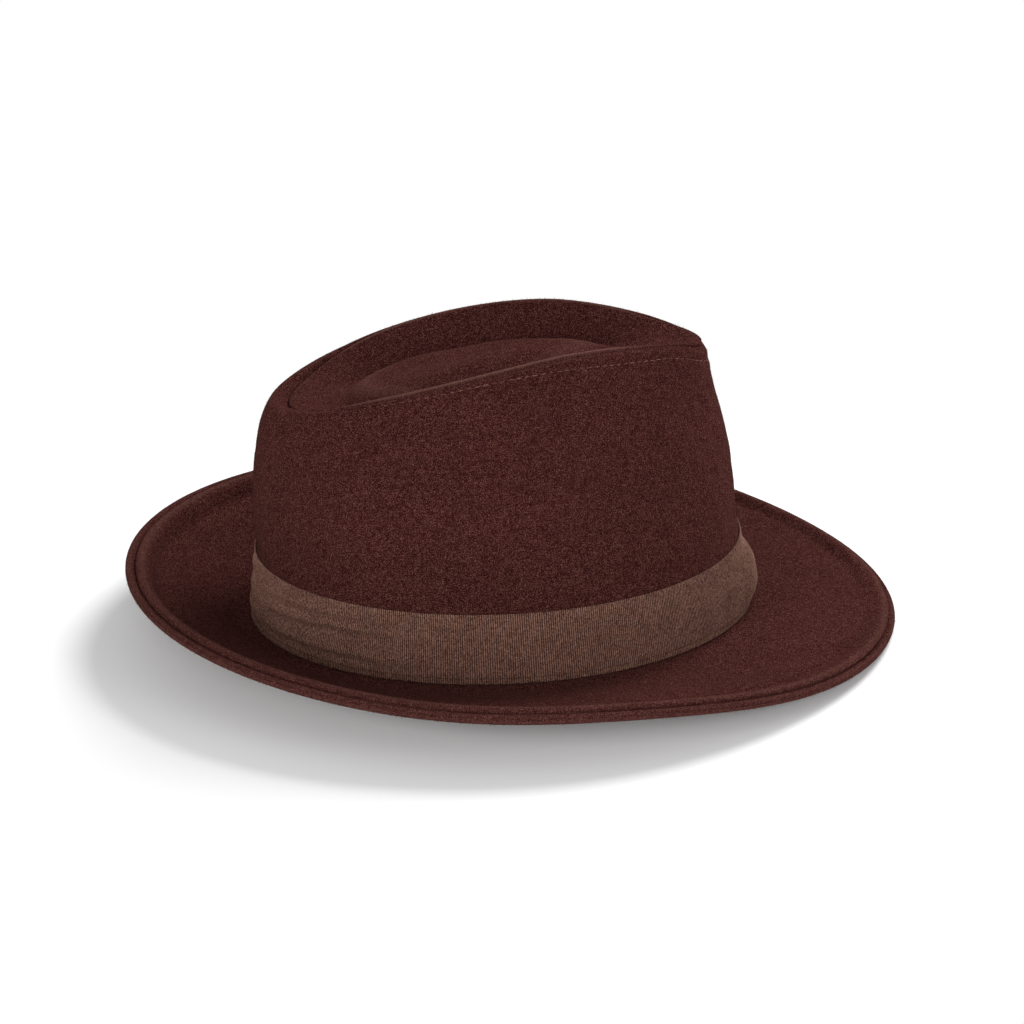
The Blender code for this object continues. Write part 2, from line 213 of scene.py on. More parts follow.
def crown_line(angle):
    """Points that the crown's lines pass at these angles, from the brim over the ridge to the middle."""
    out = np.stack([np.cos(angle), np.sin(angle), np.zeros_like(angle)], -1)
    up = np.array([0.0, 0.0, 1.0])
    ridge = ridge_oval(angle)
    ridge[..., 2] = roof(ridge[..., 0])
    band = oval(angle, HATBAND_LEVEL_FRONT, HATBAND_LEVEL_BACK, HATBAND_LEVEL_HALF_WIDTH)
    band[..., 2] = WALL_BOTTOM + HATBAND_HEIGHT
    bottom = head_oval(angle)
    bottom[..., 2] = WALL_BOTTOM
    shoulder_out = by_side(angle, SHOULDER_OUT_FRONT, SHOULDER_OUT_SIDE, SHOULDER_OUT_BACK)
    shoulder = ridge + out * shoulder_out[..., None] - up * SHOULDER_DROP
    bulge = by_side(angle, WALL_BULGE_FRONT, WALL_BULGE_SIDE, WALL_BULGE_BACK)
    wall = blend(band, shoulder, 0.5) + out * bulge[..., None]
    roll = across_ridge(angle) * RIDGE_ROLL
    fall = up * RIDGE_ROLL_DROP
    points = [bottom, band, wall, shoulder, ridge + roll - fall, ridge, ridge - roll - fall]
    moat = by_side(angle, MOAT_DEPTH_END, MOAT_DEPTH_SIDE, MOAT_DEPTH_END)
    middle = np.array([(RIDGE_FRONT - RIDGE_BACK) / 2, 0.0, 0.0])
    even = np.ones_like(angle)
    for share, drop in (
        (LIP_SHARE * even, LIP_DEPTH_SHARE * moat),
        (MOAT_SHARE * even, moat),
        (flank_share(angle), blend(moat, ISLAND_DROP, FLANK_CLIMB)),
        (by_side(angle, ISLAND_SHARE, ISLAND_SHARE, ISLAND_SHARE_BACK), ISLAND_DROP * even),
        (0 * even, ISLAND_DROP * even),
    ):
        point = middle + (ridge - middle) * share[..., None]
        point[..., 2] = roof(point[..., 0]) - drop
        points.append(point)
    return points


def along(points, place):
    """The smooth curve through the points, at one place on every line."""
    last = len(points) - 1
    i = min(int(place), last - 1)
    t = place - i
    start, end = points[i], points[i + 1]
    before = points[i - 1] if i > 0 else start * 2 - end
    after = points[i + 2] if i + 2 <= last else end * 2 - start

    def size(v):
        return np.linalg.norm(v, axis=-1, keepdims=True)

    span = size(end - start)
    lead = (end - before) * (span / (size(start - before) + span))
    follow = (after - start) * (span / (size(after - end) + span))
    return (
        start * (2 * t**3 - 3 * t**2 + 1)
        + lead * (t**3 - 2 * t**2 + t)
        + end * (3 * t**2 - 2 * t**3)
        + follow * (t**3 - t**2)
    )


def wrap(angle):
    return (np.asarray(angle) + math.pi) % TAU - math.pi


def ring(count):
    return TAU * (np.arange(count) + 0.5) / count


class Crown:
    """The crown's outer face as dense lines, one for each angle, that can be walked by length or height."""

    STEPS = 480
    STEPS_UNDER_RIDGE = 30  # that heights aren't read from, because the lines level off there

    def __init__(self, angle):
        self.angle = np.asarray(angle, float)
        points = crown_line(self.angle)
        places = np.linspace(0, MIDDLE_AT, self.STEPS + 1)
        self.lines = np.array([along(points, place) for place in places])
        steps = np.linalg.norm(np.diff(self.lines, axis=0), axis=-1)
        self.run = np.vstack([np.zeros((1, len(self.angle))), np.cumsum(steps, 0)])
        self.ridge_row = int(round(self.STEPS * RIDGE_AT / MIDDLE_AT))
        turn = np.abs(wrap(self.angle))
        back = smooth(turn, *np.radians(SEAM_IN_BETWEEN))
        front = 1 - smooth(turn, *np.radians(SEAM_DOWN_BETWEEN))
        self.seam = self.run[self.ridge_row] + SEAM_IN_AT_BACK * back - SEAM_DOWN_AT_FRONT * front

    def at(self, key, wanted):
        """Points where key, which grows along each line, takes the wanted values, (rows, angles)."""
        wanted = np.broadcast_to(wanted, (len(wanted), len(self.angle)))
        out = np.empty(wanted.shape + (3,))
        for k in range(len(self.angle)):
            for axis in range(3):
                out[:, k, axis] = np.interp(wanted[:, k], key[:, k], self.lines[: len(key), k, axis])
        return out

    def at_length(self, lengths):
        return self.at(self.run, lengths)

    def at_height(self, heights):
        top = self.ridge_row - self.STEPS_UNDER_RIDGE
        return self.at(self.lines[:top, :, 2], heights)


def grid_normals(grid):
    """Outward normals of a grid whose rows go up and whose columns go round."""
    around = np.roll(grid, -1, 1) - np.roll(grid, 1, 1)
    return unit(np.cross(around, np.gradient(grid, axis=0)))


def ripples(angle, height, seed, count, waves, lengths):
    """Smooth seeded unevenness of about plus or minus 1, whole waves round and free waves up."""
    draw = np.random.default_rng(seed)
    total = np.zeros(np.broadcast(angle, height).shape)
    for _ in range(count):
        round_waves = draw.integers(waves[0], waves[1] + 1)
        up_waves = TAU / draw.uniform(*lengths) * draw.choice((-1, 1))
        total += np.cos(round_waves * angle + up_waves * height + draw.uniform(0, TAU))
    return total / math.sqrt(count)


def rest_pose():
    front = Vector((PART_HALF_LENGTH + BRIM_FORWARD - EDGE_ROLL, 0, EDGE_RISE_FRONT - EDGE_ROLL))
    back = Vector((-HEAD_HALF_LENGTH - SEAT_WIDTH, 0, -BRIM_HALF_THICKNESS))
    tip = math.atan2(back.z - front.z, front.x - back.x)
    turned = Matrix.Rotation(-tip, 4, "Y")
    floor = min((turned @ front).z, (turned @ back).z)
    return Matrix.Translation(Vector((-BRIM_FORWARD, 0, -floor))) @ turned


REST = np.array(rest_pose())


def to_row(points):
    flat = np.asarray(points, float).reshape(-1, 3)
    return (flat @ REST[:3, :3].T + REST[:3, 3]) * MM


def add_object(name, data):
    made = bpy.data.objects.new(name, data)
    bpy.context.scene.collection.objects.link(made)
    return made


def add_mesh(name, points, faces, finish, uv=None, wear_and_highlight=None):
    """A mesh object in the row frame from points in millimetres and a list or array of faces."""
    mesh = bpy.data.meshes.new(name)
    mesh.from_pydata(to_row(points).tolist(), [], [list(map(int, f)) for f in faces])
    if uv is not None:
        layer = mesh.uv_layers.new(name="cloth")
        corner = np.empty(len(mesh.loops), int)
        mesh.loops.foreach_get("vertex_index", corner)
        layer.data.foreach_set("uv", np.asarray(uv, float).reshape(-1, 2)[corner].ravel())
    mesh.shade_smooth()
    mesh.validate()
    mesh.materials.append(finish)
    # Per-point mask that lightens the felt's raised edges: rubbed-up nap, and a painted highlight
    if wear_and_highlight is not None:
        layer = mesh.attributes.new("wear_and_highlight", "FLOAT", "POINT")
        layer.data.foreach_set("value", np.ravel(wear_and_highlight).astype(np.float32))
    return add_object(name, mesh)


def grid_faces(rows, columns, closed=True):
    """Quads of a grid, facing out where rows go up and columns go round."""
    r, c = np.meshgrid(np.arange(rows - 1), np.arange(columns if closed else columns - 1), indexing="ij")
    n = (c + 1) % columns
    quads = np.stack([r * columns + c, r * columns + n, (r + 1) * columns + n, (r + 1) * columns + c], -1)
    return quads.reshape(-1, 4)


def capped(grid, middle):
    """Points and faces of a grid whose last row is closed by a fan to a middle point."""
    rows, columns = grid.shape[:2]
    points = np.vstack([grid.reshape(-1, 3), middle])
    faces = grid_faces(rows, columns).tolist()
    last, centre = (rows - 1) * columns, rows * columns
    faces += [[last + i, last + (i + 1) % columns, centre] for i in range(columns)]
    return points, faces


def thicken(made, thickness):
    """Gives a sheet its thickness, inward."""
    solid = made.modifiers.new("cloth_thickness", "SOLIDIFY")
    solid.thickness = thickness * MM
    solid.offset = -1
    solid.use_rim = True
    return made


def dress(made, node):
    """Ties a finished piece to the hat, and hides the part's node that it shows."""
    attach(made, "root")
    if node:
        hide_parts(node)
    return made


def add_cloth(name, grid, finish, ply, node, flip=False, uv=None, wear_and_highlight=None):
    """A sheet on a grid that closes round, with its thickness, in the place of a node of the part."""
    faces = grid_faces(*grid.shape[:2])
    made = add_mesh(name, grid, faces[:, ::-1] if flip else faces, finish, uv, wear_and_highlight)
    return dress(thicken(made, ply), node)


CUT_SHARE = 0.76  # of its bounding rectangle that a cut with rounded or curved edges fills
TIP_CUT_LENGTH = 1.12 * (RIDGE_FRONT + RIDGE_BACK)  # longer than the ridge, because the tip dips


def declare_cut(grid, length, width=None):
    """Works out a shaped sheet's modelled area and the width of the rectangle that it is cut from, and keeps
    neither.
    """
    across, up = np.roll(grid, -1, 1)[:-1] - grid[:-1], grid[1:] - grid[:-1]
    area = float(np.linalg.norm(np.cross(across, up), axis=-1).sum())
    width = width or area / (CUT_SHARE * length)


# Materials


class Nodes:
    """Short ways to add and join the nodes of one new material, or of the world's tree."""

    def __init__(self, name, tree=None):
        if tree is None:
            self.material = bpy.data.materials.new(name)
            self.material.use_nodes = True
            tree = self.material.node_tree
        self.tree = tree
        self.shader = tree.nodes.get("Principled BSDF")

    def add(self, kind, links=(), **settings):
        made = self.tree.nodes.new(kind)
        for key, value in settings.items():
            setattr(made, key, value)
        for socket, value in dict(links).items():
            self.put(made.inputs[socket], value)
        return made

    def put(self, socket, value):
        if isinstance(value, bpy.types.NodeSocket):
            self.tree.links.new(value, socket)
        else:
            socket.default_value = value

    def place(self):
        return self.add("ShaderNodeTexCoord").outputs["Object"]

    def cloth(self):
        """Run along a cloth and height on it, in millimetres."""
        uv = self.add("ShaderNodeUVMap", uv_map="cloth").outputs["UV"]
        split = self.add("ShaderNodeSeparateXYZ", {"Vector": uv})
        return split.outputs["X"], split.outputs["Y"]

    def noise(self, vector, scale, detail=3.0, roughness=0.6):
        links = {"Vector": vector, "Scale": scale, "Detail": detail, "Roughness": roughness}
        return self.add("ShaderNodeTexNoise", links).outputs["Fac"]

    def ramp(self, value, places, colours):
        made = self.add("ShaderNodeValToRGB", {"Fac": value})
        marks = made.color_ramp.elements
        while len(marks) < len(places):
            marks.new(0.5)
        for mark, place, colour in zip(marks, places, colours):
            mark.position = place
            mark.color = (*colour, 1.0)
        return made.outputs["Color"]

    def mix(self, share, first, second, kind="MIX"):
        links = {0: share, 6: first, 7: second}
        return self.add("ShaderNodeMix", links, data_type="RGBA", blend_type=kind).outputs[2]

    def maths(self, operation, *values):
        return self.add("ShaderNodeMath", enumerate(values), operation=operation).outputs[0]

    def total(self, *parts):
        """The sum of values that are each multiplied by a weight."""
        weighted = [self.maths("MULTIPLY", value, weight) for value, weight in parts]
        whole = weighted[0]
        for value in weighted[1:]:
            whole = self.maths("ADD", whole, value)
        return whole

    def bump(self, height, strength, distance):
        links = {"Height": height, "Strength": strength, "Distance": distance}
        self.set(Normal=self.add("ShaderNodeBump", links).outputs["Normal"])

    def set(self, **values):
        for key, value in values.items():
            self.put(self.shader.inputs[key.replace("_", " ")], value)


FELT_TONES = ((0.0085, 0.0018, 0.0016), (0.037, 0.0088, 0.0078), (0.150, 0.062, 0.052))
FELT_WEAR_AND_HIGHLIGHT = (0.170, 0.080, 0.066)  # lighter colour of raised edges: rubbed-up nap, and a painted highlight
FELT_SHEEN = (0.62, 0.26, 0.21, 1.0)
FIBRE_TONES = ((0.0096, 0.002, 0.0018), (0.037, 0.0100, 0.0088), (0.13, 0.062, 0.053))
RIBBON_TONES = ((0.020, 0.0080, 0.0051), (0.090, 0.0405, 0.0288), (0.245, 0.133, 0.100))
RIBBON_GROOVE = (0.030, 0.014, 0.010, 1.0)
RIBBON_SHEEN = (0.75, 0.62, 0.55, 1.0)
LINING_TONES = ((0.016, 0.009, 0.008), (0.046, 0.026, 0.021))
TWILL_TONES = ((0.012, 0.006, 0.005), (0.050, 0.027, 0.022))
TAN_THREAD = ((0.095, 0.036, 0.027), (0.205, 0.098, 0.076))
BROWN_THREAD = ((0.030, 0.010, 0.009), (0.065, 0.026, 0.023))
STIFFENER_TONES = ((0.5, 0.48, 0.43), (0.68, 0.66, 0.6))
STEEL_TONES = ((0.35, 0.35, 0.36), (0.5, 0.5, 0.51))
WHITE = (1.0, 1.0, 1.0)
SHADE_TONES = ((0.88, 0.88, 0.88), WHITE)
PAPER_TONES = ((0.90, 0.90, 0.90), (0.93, 0.93, 0.93))

# Noise scales, in waves to the metre
FELT_FIBRE_SCALE = 3000.0
FELT_GRAIN_SCALE = 2600.0
FELT_MOTTLE_SCALE = 520.0
FELT_SHADE_SCALE = 22.0
RIBBON_WEAVE_SCALE = 1300.0
RIBBON_BLOTCH_SCALE = 130.0
SATIN_THREAD_SCALE = 2400.0
SATIN_CLOUD_SCALE = 40.0
TWILL_WEAR_SCALE = 90.0
THREAD_TWIST_SCALE = 5200.0
SPECK_SCALE = 900.0
PAPER_SCALE = 6.0

FIBRE_LAYS = ((0.3, 0.9, 0.2), (1.4, 0.2, 1.1), (0.8, 1.9, 2.3))  # turns of the ways that felt's fibres lie
FIBRE_STRETCH = (1.0, 0.30, 1.0)

# Grosgrain and twill, in millimetres
RIB_PITCH = 0.8
RIB_HEIGHT = 0.09
SELVEDGE = 2.6
SELVEDGE_GROOVE = 0.28  # half width of the line between the ribs and the selvedge
TWILL_PITCH = 0.9


def felt_material():
    """Milled wool felt: matted light and dark fibres, with a soft sheen and a fuzzy grain."""
    n = Nodes("wool_felt_fuzzy")
    place = n.place()
    streaks = []
    for turn in FIBRE_LAYS:
        lay = n.add("ShaderNodeMapping", {"Vector": place, "Rotation": turn, "Scale": FIBRE_STRETCH})
        streaks.append(n.noise(lay.outputs["Vector"], FELT_FIBRE_SCALE, 2.0, 0.5))
    fibres = n.maths("MAXIMUM", n.maths("MAXIMUM", streaks[0], streaks[1]), streaks[2])
    grain = n.noise(place, FELT_GRAIN_SCALE, 1.5, 0.6)
    mottle = n.noise(place, FELT_MOTTLE_SCALE, 2.0, 0.5)
    tone = n.total((fibres, 0.55), (grain, 0.60), (mottle, 0.12))
    colour = n.ramp(tone, (0.55, 0.68, 0.83), FELT_TONES)
    wide = n.noise(place, FELT_SHADE_SCALE, 2.0)
    shade = n.ramp(wide, (0.30, 0.70), SHADE_TONES)
    colour = n.mix(1.0, colour, shade, "MULTIPLY")
    # Raised edges lightened by the mask: rubbed-up nap, and a painted highlight
    wear_and_highlight = n.add("ShaderNodeAttribute", attribute_name="wear_and_highlight").outputs["Fac"]
    colour = n.mix(n.maths("MULTIPLY", wear_and_highlight, n.maths("ADD", grain, 0.25)), colour, (*FELT_WEAR_AND_HIGHLIGHT, 1.0))
    n.set(Base_Color=colour, Roughness=0.95, Specular_IOR_Level=0.0)
    n.set(Sheen_Weight=0.07, Sheen_Roughness=0.35, Sheen_Tint=FELT_SHEEN)
    n.bump(n.maths("ADD", fibres, grain), 0.6, 0.0006)
    return n.material


def fibre_material():
    """Loose surface fibres of the felt, each with its own tone."""
    n = Nodes("wool_fibre")
    tone = n.add("ShaderNodeNewGeometry").outputs["Random Per Island"]
    colour = n.ramp(tone, (0.0, 0.65, 1.0), FIBRE_TONES)
    n.set(Base_Color=colour, Roughness=0.9, Specular_IOR_Level=0.0)
    return n.material


def ribbon_material():
    """Grosgrain: ribs across the ribbon, a flat selvedge along its lower edge, and a little wear."""
    n = Nodes("grosgrain_ribbon")
    run, height = n.cloth()
    place = n.place()
    rib = n.maths("COSINE", n.maths("MULTIPLY", run, TAU / RIB_PITCH))
    rib = n.maths("ADD", n.maths("MULTIPLY", rib, 0.5), 0.5)
    weave = n.noise(place, RIBBON_WEAVE_SCALE, 2.0, 0.7)
    blotch = n.noise(place, RIBBON_BLOTCH_SCALE, 3.0, 0.6)
    tone = n.total((rib, 0.26), (weave, 0.75), (blotch, 0.15))
    colour = n.ramp(tone, (0.38, 0.58, 0.78), RIBBON_TONES)
    from_groove = n.maths("ABSOLUTE", n.maths("SUBTRACT", height, SELVEDGE))
    groove = n.maths("LESS_THAN", from_groove, SELVEDGE_GROOVE)
    edge = n.mix(n.maths("MULTIPLY", groove, 0.45), colour, RIBBON_GROOVE)
    n.set(Base_Color=edge, Roughness=0.7, Specular_IOR_Level=0.05)
    n.set(Sheen_Weight=0.02, Sheen_Roughness=0.3, Sheen_Tint=RIBBON_SHEEN)
    n.bump(n.maths("ADD", rib, n.maths("MULTIPLY", weave, 0.6)), 0.7, 0.0004)
    return n.material


def lining_material():
    n = Nodes("satin_lining_cloth")
    place = n.place()
    thread = n.noise(place, SATIN_THREAD_SCALE, 1.0)
    cloud = n.noise(place, SATIN_CLOUD_SCALE, 2.0)
    tone = n.total((thread, 0.4), (cloud, 0.6))
    colour = n.ramp(tone, (0.3, 0.7), LINING_TONES)
    n.set(Base_Color=colour, Roughness=0.38, Specular_IOR_Level=0.5, Sheen_Weight=0.15)
    n.bump(thread, 0.25, 0.0002)
    return n.material


def sweatband_material():
    n = Nodes("sweatband_twill_cloth")
    slant = n.maths("ADD", *n.cloth())
    twill = n.maths("SINE", n.maths("MULTIPLY", slant, TAU / TWILL_PITCH))
    wear_and_highlight = n.noise(n.place(), TWILL_WEAR_SCALE, 3.0)
    tone = n.maths("ADD", n.maths("MULTIPLY", twill, 0.18), wear_and_highlight)
    colour = n.ramp(tone, (0.3, 0.75), TWILL_TONES)
    n.set(Base_Color=colour, Roughness=0.8, Specular_IOR_Level=0.2, Sheen_Weight=0.2)
    n.bump(twill, 0.5, 0.0003)
    return n.material


def thread_material(name, tones):
    """Sewing thread with its twist and a slight change of tone from stitch to stitch."""
    n = Nodes(name)
    tone = n.add("ShaderNodeNewGeometry").outputs["Random Per Island"]
    colour = n.ramp(tone, (0.0, 1.0), tones)
    twist = n.noise(n.place(), THREAD_TWIST_SCALE, 1.0)
    n.set(Base_Color=colour, Roughness=0.7, Specular_IOR_Level=0.05)
    n.bump(twist, 0.4, 0.0001)
    return n.material


def hidden_material(name, tones, metallic, roughness):
    """For the sealed pieces inside the brim."""
    n = Nodes(name)
    speck = n.noise(n.place(), SPECK_SCALE, 3.0)
    n.set(Base_Color=n.ramp(speck, (0.3, 0.7), tones), Metallic=metallic, Roughness=roughness)
    n.bump(speck, 0.2, 0.0002)
    return n.material


# Felt panels of the crown

CROWN_COLUMNS = 460
SIDE_ROWS = 58
TIP_ROWS = 40
SEAM_PINCH_AT = 1.1  # below the seam, where its hidden stitches pull the felt in
TOPSTITCH = {"pitch": 3.3, "length": 2.2, "radius": 0.14, "lift": -0.28}  # its thread sinks into the felt
TOPSTITCH_AT_BACK = 2.9
TOPSTITCH_MORE_AT_SIDE = 1.2
TOPSTITCH_MORE_AT_FRONT = 3.2
# Distances from the seam of the rows near it, closest where its relief is sharpest
NEAR_SEAM = np.concatenate([np.arange(0, 2.8, 0.35), np.arange(2.8, 9.0, 0.5), np.arange(9.0, 15.0, 1.0)])


def topstitch_drop(angle):
    """Distance of the topstitching below the seam: near it at the back, away from it in front."""
    c = np.cos(angle)
    at_side = TOPSTITCH_MORE_AT_SIDE * smooth(c, -0.8, 0.0)
    return TOPSTITCH_AT_BACK + at_side + TOPSTITCH_MORE_AT_FRONT * smooth(c, -0.1, 0.65)


def seam_relief(distance, angle, stitch_phase):
    """How far the felt stands out near its sewn edge: turned in, pinched at the stitches, swollen between."""
    turn_in = -1.3 * (1 - smooth(distance, 0.0, 1.1))
    drop = topstitch_drop(angle)
    pull = 0.75 + 0.25 * np.cos(stitch_phase)
    pinch = -0.22 * bell(distance, SEAM_PINCH_AT, 0.4) * pull - 0.42 * bell(distance, drop, 0.65) * pull
    swell = 0.35 * bell(distance, (SEAM_PINCH_AT + drop) / 2, 1.2) + 0.15 * bell(distance, drop + 2.6, 1.6)
    return turn_in + pinch + swell


def rows_from_seam(span, shares):
    """Distances from the seam, (rows, angles): the near ones, then shares of what is left of the span."""
    rest = NEAR_SEAM[-1] + shares[:, None] * (span - NEAR_SEAM[-1])
    return np.vstack([np.broadcast_to(NEAR_SEAM[:, None], (len(NEAR_SEAM), len(span))), rest])


def closed_length(points):
    """Running length along a closed line of points, and its whole length."""
    steps = np.linalg.norm(np.roll(points, -1, 0) - points, axis=-1)
    run = np.concatenate([[0], np.cumsum(steps)])
    return run[:-1], run[-1]


def whole_pitch(length, pitch):
    return length / max(1, round(length / pitch))


def make_crown_side(crown, felt):
    seam_line = crown.at_length(crown.seam[None, :])[0]
    run, whole = closed_length(seam_line)
    phase = run / whole_pitch(whole, TOPSTITCH["pitch"]) * TAU
    span = crown.seam - crown.run[0]
    distance = rows_from_seam(span, np.linspace(0, 1, SIDE_ROWS)[1:])[::-1]
    grid = crown.at_length(crown.seam - distance)
    normals = grid_normals(grid)
    angle = crown.angle
    relief = seam_relief(distance, angle, phase)
    uneven = 0.42 * ripples(angle, distance, seed=3, count=9, waves=(3, 11), lengths=(45.0, 150.0))
    uneven += 0.13 * ripples(angle, distance, seed=4, count=12, waves=(14, 40), lengths=(12.0, 40.0))
    free = smooth(distance, 4.0, 22.0) * smooth(span - distance, 27.0, 48.0)
    grid = grid + normals * (relief + uneven * free)[..., None]
    made = add_cloth("crown_side_felt", grid, felt, CROWN_PLY, "crown_side_panel")
    declare_cut(grid, closed_length(grid[0])[1])
    return grid


def make_crown_tip(crown, felt):
    whole = crown.run[-1] - crown.seam
    distance = rows_from_seam(whole, np.linspace(0, 1, TIP_ROWS)[1:-1])
    grid = crown.at_length(crown.seam + distance)
    normals = grid_normals(grid)
    angle = crown.angle
    turn_in = -1.1 * (1 - smooth(distance, 0.0, 0.9))
    on_side = smooth(np.cos(angle), -0.85, -0.45) * (1 - smooth(np.cos(angle), 0.55, 0.9))
    swell = (0.25 + 0.9 * on_side) * bell(distance, 1.6, 0.85)
    share_in = distance / whole
    uneven = 0.22 * ripples(angle, distance, seed=8, count=7, waves=(2, 6), lengths=(40.0, 110.0))
    uneven = uneven * smooth(share_in, 0.05, 0.2) * (1 - smooth(share_in, 0.75, 0.98))
    grid = grid + normals * (turn_in + swell + uneven)[..., None]
    # Lighter seam welt and island edge: rubbed-up nap, and a painted highlight
    wear_and_highlight = (0.05 + 0.75 * on_side) * bell(distance, 1.4, 0.6)
    wear_and_highlight = wear_and_highlight + 0.22 * bell(share_in, 1 - flank_share(angle), 0.07)
    points, faces = capped(grid, crown.lines[-1].mean(0))
    made = add_mesh("crown_tip_felt", points, faces, felt, wear_and_highlight=np.append(wear_and_highlight, 0.0))
    dress(thicken(made, CROWN_PLY), "crown_tip_panel")
    declare_cut(grid, TIP_CUT_LENGTH)
    return grid


def capsules(name, starts, ends, lifts, radius, finish):
    """Short rounded stitches, each from a start to an end, lying on the lift direction's surface."""
    sides, rings = 6, (0.0, 0.12, 0.5, 0.88, 1.0)
    swell = (0.25, 0.8, 1.0, 0.8, 0.25)
    turns = TAU * np.arange(sides) / sides
    run = ends - starts
    forward = unit(run)
    side = unit(np.cross(forward, lifts))
    up = np.cross(side, forward)
    rows = []
    for share, size in zip(rings, swell):
        arch = radius * 0.55 * math.sin(math.pi * share)
        centre = starts + run * share + up * arch
        circle = np.cos(turns)[None, :, None] * side[:, None] + np.sin(turns)[None, :, None] * up[:, None]
        rows.append(centre[:, None] + circle * radius * size)
    points = np.stack(rows, 1)
    count, per = len(starts), len(rings) * sides
    pattern = grid_faces(len(rings), sides).tolist()
    pattern += [list(range(sides))[::-1], list(range(per - sides, per))]
    faces = [[i * per + v for v in face] for i in range(count) for face in pattern]
    return add_mesh(name, points, faces, finish)


def stitch_line(name, path, normals, finish, pitch, length, radius, lift):
    """A row of stitches along a closed path of points with its normals."""
    run, whole = closed_length(path)
    pitch = whole_pitch(whole, pitch)
    count = int(round(whole / pitch))

    def at(values, lengths):
        closed_run = np.append(run, whole)
        closed = np.vstack([values, values[:1]])
        return np.stack([np.interp(lengths % whole, closed_run, closed[:, i]) for i in range(3)], -1)

    begin = np.arange(count) * pitch
    up = unit(at(normals, begin + length / 2))
    starts = at(path, begin) + up * lift
    ends = at(path, begin + length) + up * lift
    dress(capsules(name, starts, ends, up, radius, finish), None)


def make_crown_stitches(crown, thread):
    line = crown.seam - topstitch_drop(crown.angle)
    beside = 0.6
    lines = crown.at_length(np.stack([line - beside, line, line + beside]))
    normals = grid_normals(lines)[1]
    stitch_line("crown_topstitch", lines[1], normals, thread, **TOPSTITCH)


# Brim

BRIM_COLUMNS = 560
BRIM_ROLL = 2.3  # radius of the under layer's rolled edge
BRIM_STRAIGHT = 0.9  # share of the brim's climb that is even, the rest steepens towards the edge
BRIM_STITCH_INSET = 4.0
BRIM_STITCH = {"pitch": 3.6, "length": 2.6, "radius": 0.22, "lift": 0.02}
UNDER_STITCH_HEIGHT = 0.3
BRIM_WIDE_ROWS = 34
BRIM_ROLL_ROWS = 10
FINE_INSET = 17.0  # from here out to the edge the brim's rows lie closer
FINE_STEP = 0.6
FINEST_INSET = 7.0
FINEST_STEP = 0.25
LIP_INSET = 4.6  # where the top layer's rows end and the ridge's outer flank begins
EDGE_HEIGHT = 0.06  # of each layer over the brim's middle surface, right at the edge
LIP_HEIGHT = 2.7  # of the top layer's ridge over the brim, where its curl is 1
UNDER_LIP_HEIGHT = 0.6
CURL_AT_FRONT = 0.62  # share of the ridge's height that it has there
CURL_MORE_AT_BACK = 0.48
UNDER_GROOVE_DEPTH = 1.45
GROOVE_AT = (3.6, 0.7)  # inset and height of the sewn groove between the ridge and the edge's bead
# The ridge's outer flank: inset, and share of the ridge's height.
LIP_FLANK = ((4.2, 0.95), (3.5, 0.80), (3.0, 0.56), (2.75, 0.28), (2.9, 0.06))
# The bead outside the groove: inset and height.
BEAD = ((3.1, 1.0), (2.6, 1.32), (1.9, 1.45), (1.3, 1.38))
BEAD += ((0.75, 1.12), (0.35, 0.76), (0.08, 0.38), (0.0, EDGE_HEIGHT))
VALLEY_INSET = 12.6  # of the hollow inside the edge's ridge
VALLEY_DEPTH = 0.80
STIFFENER_COLUMNS = 240
STIFFENER_ROWS = 24
STIFFENER_FROM_HEAD = 1.0
STIFFENER_FROM_EDGE = 5.5


def edge_rise(angle):
    tilt = (EDGE_RISE_FRONT - EDGE_RISE_BACK) / 2
    level = (EDGE_RISE_FRONT + EDGE_RISE_BACK) / 2
    c = np.cos(angle)
    off = (np.arccos(np.clip(c, -1, 1)) - math.radians(SIDE_CURL_AT)) / math.radians(SIDE_CURL_SPREAD)
    return blend(EDGE_RISE_SIDE, level, c * c) + tilt * c + SIDE_CURL * np.exp(-off * off / 2)


def brim_edge(angle):
    return oval(angle, BRIM_HALF_LENGTH + BRIM_FORWARD, BRIM_HALF_LENGTH - BRIM_FORWARD, BRIM_HALF_WIDTH)


def brim_width(angle):
    return np.linalg.norm(brim_edge(angle) - head_oval(angle), axis=-1)


def brim_grid(angle, inset, height):
    """Points of the brim at insets from its edge and heights over its middle surface, (rows, angles)."""
    edge = brim_edge(angle)
    inner = head_oval(angle)
    flat = np.linalg.norm(edge - inner, axis=-1)
    rise = edge_rise(angle)
    share = 1 - inset / flat
    climb = np.clip((share - SEAT_WIDTH / flat) / (1 - SEAT_WIDTH / flat), 0, None)
    points = inner + (edge - inner) * share[..., None]
    points[..., 2] = rise * (BRIM_STRAIGHT * climb + (1 - BRIM_STRAIGHT) * climb**2)
    slope = np.where(climb > 0, rise / flat * (BRIM_STRAIGHT + 2 * (1 - BRIM_STRAIGHT) * climb), 0.0)
    normal = unit(np.array([0.0, 0.0, 1.0]) - unit(edge - inner) * slope[..., None])
    return points + normal * height[..., None]


def brim_ring(angle, inset, height):
    """One closed line of points round the brim."""
    return brim_grid(angle, np.full((1, len(angle)), inset), np.full((1, len(angle)), height))[0]


def wide_rows(angle, last):
    """Insets of the brim's rows, from the head opening out to the last inset."""
    under_wall = FELT + GAP + LINING
    shares = np.linspace(0, 1, BRIM_WIDE_ROWS)[:-1]
    wide = (brim_width(angle) + under_wall) * (1 - shares[:, None]) + FINE_INSET * shares[:, None]
    fine = np.arange(FINE_INSET, FINEST_INSET, -FINE_STEP)
    steps = np.concatenate([fine, np.arange(FINEST_INSET, last, -FINEST_STEP)])
    return np.vstack([wide, np.broadcast_to(steps[:, None], (len(steps), len(angle)))])


